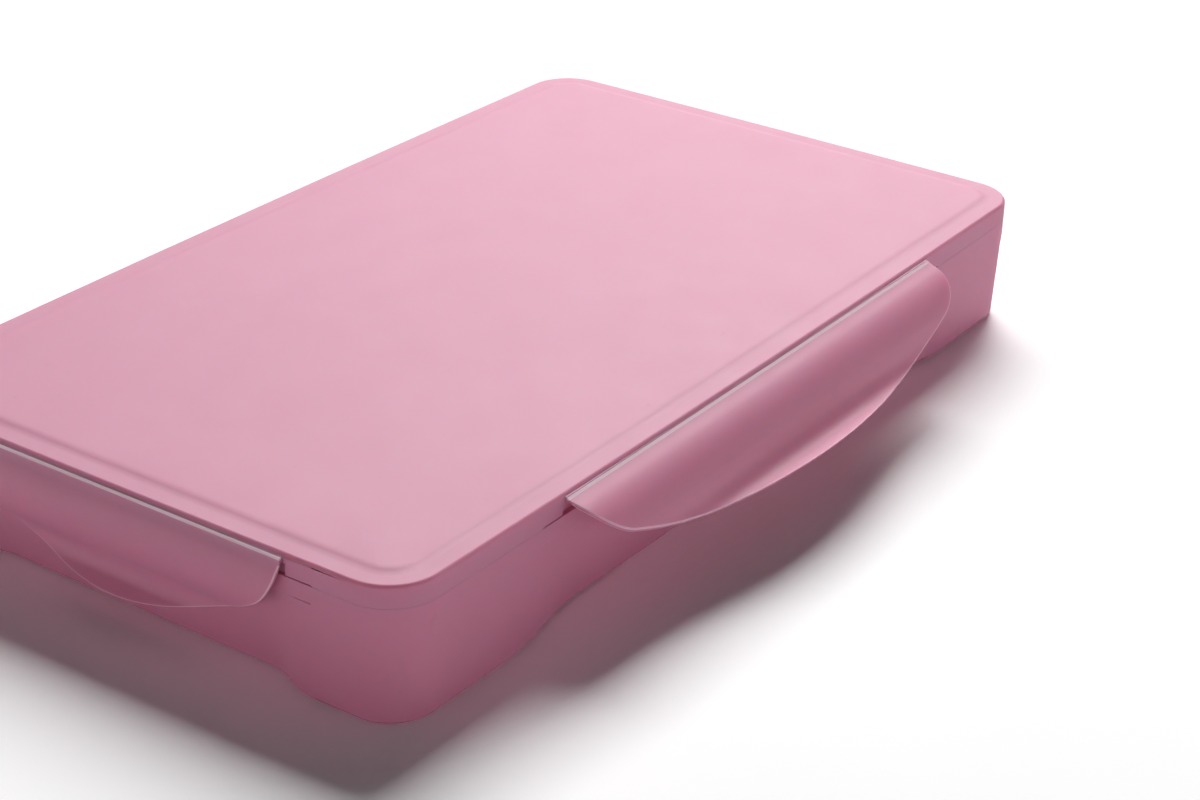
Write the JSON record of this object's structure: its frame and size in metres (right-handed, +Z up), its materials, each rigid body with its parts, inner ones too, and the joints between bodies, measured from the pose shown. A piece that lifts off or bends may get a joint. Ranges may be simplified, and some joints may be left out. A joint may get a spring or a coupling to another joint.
{
  "type": "gouache paint set box",
  "caption": "Flat rectangular carrying box with a slab lid, four hinged latch wings, a waisted base, a cup tray with paint cups and a mixing palette.",
  "frame": {"origin": "middle of the base's underside, on the table", "axes": "+X along the long side, +Y from the front wing to the back wing, +Z up out of the lid"},
  "size_m": [0.3278, 0.214, 0.041],
  "materials": {
    "pink_shell": "satin moulded polypropylene, fine spark texture",
    "tray_plastic": "satin white moulded plastic",
    "palette_plastic": "smooth white plastic that wipes clean",
    "cup_plastic": "thin milky plastic",
    "paint_white": "thick gouache, matt with a damp sheen",
    "paint_lemon": "thick gouache, matt with a damp sheen",
    "paint_yellow": "thick gouache, matt with a damp sheen",
    "paint_orange": "thick gouache, matt with a damp sheen",
    "paint_vermilion": "thick gouache, matt with a damp sheen",
    "paint_crimson": "thick gouache, matt with a damp sheen",
    "paint_pink": "thick gouache, matt with a damp sheen",
    "paint_violet": "thick gouache, matt with a damp sheen",
    "paint_ultramarine": "thick gouache, matt with a damp sheen",
    "paint_sky_blue": "thick gouache, matt with a damp sheen",
    "paint_turquoise": "thick gouache, matt with a damp sheen",
    "paint_green": "thick gouache, matt with a damp sheen",
    "paint_sap_green": "thick gouache, matt with a damp sheen",
    "paint_ochre": "thick gouache, matt with a damp sheen",
    "paint_sienna": "thick gouache, matt with a damp sheen",
    "paint_umber": "thick gouache, matt with a damp sheen",
    "paint_grey": "thick gouache, matt with a damp sheen",
    "paint_black": "thick gouache, matt with a damp sheen"
  },
  "bodies": {
    "base": {"base_shell": "pink_shell"},
    "cup_set": {"cup_tray": "tray_plastic", "cup_01": "cup_plastic", "cup_02": "cup_plastic", "cup_03": "cup_plastic", "cup_04": "cup_plastic", "cup_05": "cup_plastic", "cup_06": "cup_plastic", "cup_07": "cup_plastic", "cup_08": "cup_plastic", "cup_09": "cup_plastic", "cup_10": "cup_plastic", "cup_11": "cup_plastic", "cup_12": "cup_plastic", "cup_13": "cup_plastic", "cup_14": "cup_plastic", "cup_15": "cup_plastic", "cup_16": "cup_plastic", "cup_17": "cup_plastic", "cup_18": "cup_plastic", "paint_white": "paint_white", "paint_lemon": "paint_lemon", "paint_yellow": "paint_yellow", "paint_orange": "paint_orange", "paint_vermilion": "paint_vermilion", "paint_crimson": "paint_crimson", "paint_pink": "paint_pink", "paint_violet": "paint_violet", "paint_ultramarine": "paint_ultramarine", "paint_sky_blue": "paint_sky_blue", "paint_turquoise": "paint_turquoise", "paint_green": "paint_green", "paint_sap_green": "paint_sap_green", "paint_ochre": "paint_ochre", "paint_sienna": "paint_sienna", "paint_umber": "paint_umber", "paint_grey": "paint_grey", "paint_black": "paint_black"},
    "palette": {"palette": "palette_plastic"},
    "lid": {"lid_shell": "pink_shell"},
    "wing_front": {"wing_front": "pink_shell"},
    "wing_back": {"wing_back": "pink_shell"},
    "wing_left": {"wing_left": "pink_shell"},
    "wing_right": {"wing_right": "pink_shell"}
  },
  "joints": [
    {"name": "tray_lift", "type": "slide", "parent": "base", "child": "cup_set", "axis": [0, 0, 1], "range_m": [0, 0.045]},
    {"name": "palette_lift", "type": "slide", "parent": "cup_set", "child": "palette", "axis": [0, 0, 1], "range_m": [0, 0.03]},
    {"name": "lid_lift", "type": "slide", "parent": "palette", "child": "lid", "axis": [0, 0, 1], "range_m": [0, 0.045]},
    {"name": "wing_front_hinge", "type": "hinge", "parent": "lid", "child": "wing_front", "pos_m": [0, -0.09335, 0.0385], "axis": [-1, 0, 0], "range_deg": [-51.5, 83.5]},
    {"name": "wing_back_hinge", "type": "hinge", "parent": "lid", "child": "wing_back", "pos_m": [0, 0.09335, 0.0385], "axis": [1, 0, 0], "range_deg": [0, 135]},
    {"name": "wing_left_hinge", "type": "hinge", "parent": "lid", "child": "wing_left", "pos_m": [-0.16075, 0, 0.0385], "axis": [0, 1, 0], "range_deg": [0, 135]},
    {"name": "wing_right_hinge", "type": "hinge", "parent": "lid", "child": "wing_right", "pos_m": [0.16075, 0, 0.0385], "axis": [0, -1, 0], "range_deg": [0, 135]}
  ]
}
